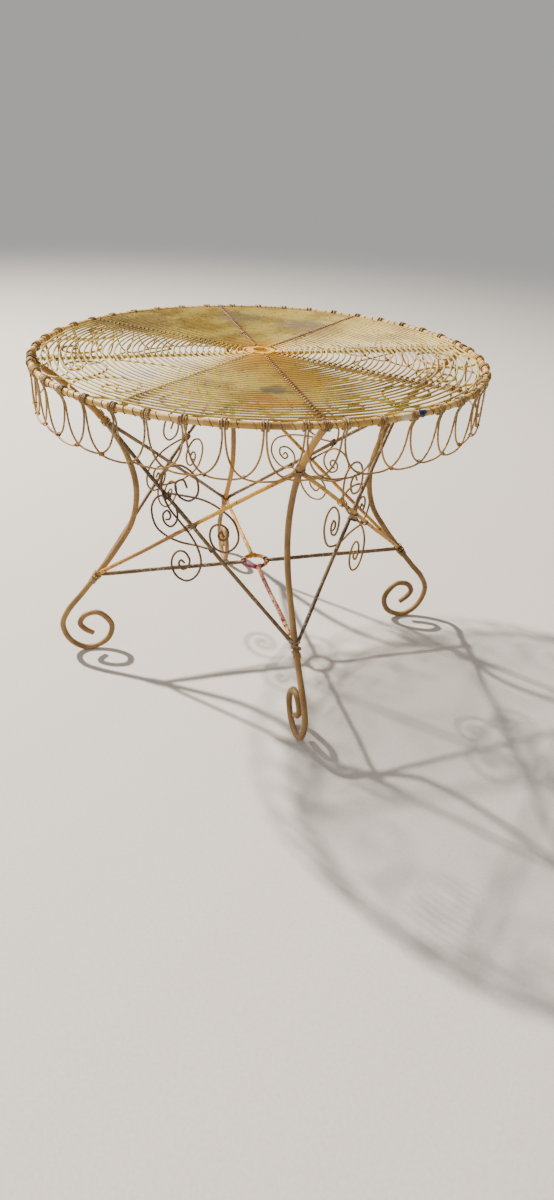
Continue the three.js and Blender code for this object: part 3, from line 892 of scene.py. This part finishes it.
def bayTie(along, level, inner, outer, halfSide, direction, turns):
    # a coil that closes on everything between two distances from the plane
    middle = bayPoints(np.array(along), np.array(level), np.array((inner + outer) / 2))
    axis = direction[0] * bayAlong + direction[1] * upright
    halfOut = (outer - inner) / 2 + scroll["tieWire"] / 2
    return coil(middle, axis, bayOut, halfOut, halfSide, turns, scroll["bayTieWire"], pitch=2.0, bound=0.9)


falling = unit(np.array([(lowerJoint[0] + upperJoint[0]) * diagonal, lowerJoint[1] - upperJoint[1]]))
rising = falling * np.array([-1, 1])
bayPaints = {
    "outer": ["bracePaint", "bracePaint", "bracePaint", "ochreBracePaint"],
    "inner": ["ochreBracePaint", "bracePaint", "ochreBracePaint", "bracePaint"],
    # bay 3 takes the darker wire paint, which holds painted shade
    "volutes": ["tanWirePaint", "tanWirePaint", "shadedWirePaint", "tanWirePaint"],
}
for k in range(legCount):
    wirePaint = bayPaints["volutes"][k]
    buildTurned("braceOuter", k, [braceSkin(1, 60 + k)], bayPaints["outer"][k], "brace_outer")
    buildTurned("braceInner", k, [braceSkin(-1, 70 + k)], bayPaints["inner"][k], "brace_inner")
    buildTurned("middleVolute", k, [voluteSkin(middleVolute, 1)], wirePaint, "middle_volute")
    buildTurned("sideVolute", k, [voluteSkin(sideVolute, -1)], wirePaint, "side_volute")
    buildTurned("farVolute", k, [voluteSkin(farVolute, -1)], wirePaint, "far_volute")
    ties = [
        bayTie(-70, 474, -5.9, 14.5, 7.5, falling, 5),
        bayTie(55, 380, -5.5, 9.1, 6.6, falling, 4),
        bayTie(-11, 414, -9.3, 14.5, 6.4, rising, 3),
        bayTie(0, 422, -9.3, 9.3, 7.6, np.array([0.0, 1.0]), 3),
    ]
    buildTurned("bayTies", k, ties, "bracePaint")
print("bays made")

# The pole ring and the four stretchers that carry it.
stretcher = {"rod": 10.0, "ringRadius": 30.0, "flatLength": 16.0}
stretcherLevel = lowerJoint[1]
ringAngles = np.linspace(0, fullTurn, 96, endpoint=False)
ringPath = around(ringAngles, stretcher["ringRadius"], stretcherLevel)
ringTube = tube(ringPath, upright, stretcher["rod"] / 2, sides=14, closed=True, bound=0.4)
ringTieAngles = (np.arange(legCount)[:, None] * quarterTurn + np.array([-0.22, 0.22])).ravel()
ringTies = coil(
    around(ringTieAngles, stretcher["ringRadius"], stretcherLevel),
    around(ringTieAngles + fullTurn / 4, 1.0, 0.0), upright, halfOut=6.0, halfSide=6.0, turns=3,
    wire=scroll["bayTieWire"], pitch=2.1, bound=0.8,
)
buildPiece("poleRing", [ringTube, ringTies], "wornRosePaint", ["pole_ring"])

stretcherPaints = ["bracePaint", "ochreBracePaint", "bracePaint", "wornRosePaint"]
for k in range(legCount):
    out = np.linspace(stretcher["ringRadius"] + 1.5, lowerJoint[0] - 3, 70)
    ends = fading(out - out[0], stretcher["flatLength"]) + fading(out[-1] - out, stretcher["flatLength"])
    swell = 1 + wander(out, 80 + k, (50, 90, 170), 0.06)
    sway = wander(out, 90 + k, (210, 330), 1.0) * (1 - np.clip(ends, 0, 1))
    path = np.stack([out, sway, np.full(out.size, stretcherLevel)], -1)
    half = stretcher["rod"] / 2 * swell
    rod = tube(path, upright, half * (1 + 0.2 * ends), half * (1 - 0.15 * ends), 12, bound=0.25 + 0.4 * ends)
    buildTurned("stretcher", k, [rod], stretcherPaints[k], "stretcher")
print("stretchers made")

# Studio: a wide pale floor that fades into an even surround, one key lamp high
# behind on the left and a broad fill.
studio = {
    "reach": 60.0, "fadeFrom": 1.6, "fadeTo": 8.0, "glow": 0.5, "surround": (0.84, 0.83, 0.81, 1.0),
    "floorShades": (paint(214, 206, 198), paint(190, 183, 176)), "aimHeight": 0.4,
}
floorMesh = bpy.data.meshes.new("floor")
floorSigns = ((-1, -1), (1, -1), (1, 1), (-1, 1))
floorCorners = [(x * studio["reach"], y * studio["reach"], 0) for x, y in floorSigns]
floorMesh.from_pydata(floorCorners, [], [(0, 1, 2, 3)])
floor = bpy.data.objects.new("floor", floorMesh)
bpy.context.scene.collection.objects.link(floor)
floorPaint = bpy.data.materials.new("floorPaint")
floorPaint.use_nodes = True
floorTree = floorPaint.node_tree
floorShader = floorTree.nodes["Principled BSDF"]
floorSpot = floorTree.nodes.new("ShaderNodeTexCoord").outputs["Object"]
floorShade = mixed(floorTree, speckle(floorTree, floorSpot, 160.0, 3.0), *studio["floorShades"])
floorAway = place(floorTree, "ShaderNodeVectorMath", {"operation": "LENGTH"}, {0: floorSpot})
floorFade = between(floorTree, floorAway.outputs["Value"], studio["fadeFrom"], studio["fadeTo"])
floorFaded = mixed(floorTree, floorFade, floorShade, paint(0, 0, 0))
floorGlow = reckon(floorTree, "MULTIPLY", floorFade, studio["glow"])
floorTree.links.new(floorFaded, floorShader.inputs["Base Color"])
floorTree.links.new(floorGlow, floorShader.inputs["Emission Strength"])
floorShader.inputs["Emission Color"].default_value = studio["surround"]
floorShader.inputs["Specular IOR Level"].default_value = 0.0
floorShader.inputs["Roughness"].default_value = 1.0
floorMesh.materials.append(floorPaint)


def pointing(azimuth, elevation):
    # the direction at these two angles in radians
    flat = math.cos(elevation)
    return Vector((math.cos(azimuth) * flat, math.sin(azimuth) * flat, math.sin(elevation)))


lamps = {
    "keyLamp": {
        "azimuth": 127, "elevation": 43, "distance": 9.0,
        "size": 0.3, "power": 2700, "tint": (1.0, 0.95, 0.87),
    },
    "fillLamp": {
        "azimuth": 215, "elevation": 35, "distance": 5.0,
        "size": 3.5, "power": 70, "tint": (0.95, 0.97, 1.0),
    },
}
for name, lamp in lamps.items():
    data = bpy.data.lights.new(name, "AREA")
    data.size, data.energy, data.color = lamp["size"], lamp["power"], lamp["tint"]
    toLamp = pointing(math.radians(lamp["azimuth"]), math.radians(lamp["elevation"]))
    holder = bpy.data.objects.new(name, data)
    holder.location = toLamp * lamp["distance"] + Vector((0, 0, studio["aimHeight"]))
    holder.rotation_euler = toLamp.to_track_quat("Z", "Y").to_euler()
    bpy.context.scene.collection.objects.link(holder)

surround = bpy.data.worlds.new("surround")
surround.use_nodes = True
surround.node_tree.nodes["Background"].inputs["Color"].default_value = studio["surround"]
surround.node_tree.nodes["Background"].inputs["Strength"].default_value = studio["glow"]
bpy.context.scene.world = surround

# The camera: place in metres, angles in degrees, lens in millimetres for a
# long side of 36.
cameraView = {"place": (-0.4195, -1.734, 1.181), "heading": 74.43, "down": 31.18, "roll": 2.61, "lens": 23.57}
heading, down, roll = [math.radians(cameraView[key]) for key in ("heading", "down", "roll")]
forward = pointing(heading, -down)
level = Vector((math.sin(heading), -math.cos(heading), 0))
above = level.cross(forward)
right = level * math.cos(roll) + above * math.sin(roll)
upward = above * math.cos(roll) - level * math.sin(roll)
cameraData = bpy.data.cameras.new("viewer")
cameraData.lens = cameraView["lens"]
cameraData.sensor_width = 36.0
viewer = bpy.data.objects.new("viewer", cameraData)
turnMatrix = Matrix((right, upward, -forward)).transposed()
viewer.matrix_world = Matrix.Translation(cameraView["place"]) @ turnMatrix.to_4x4()
bpy.context.scene.collection.objects.link(viewer)
bpy.context.scene.camera = viewer

print("studio ready")
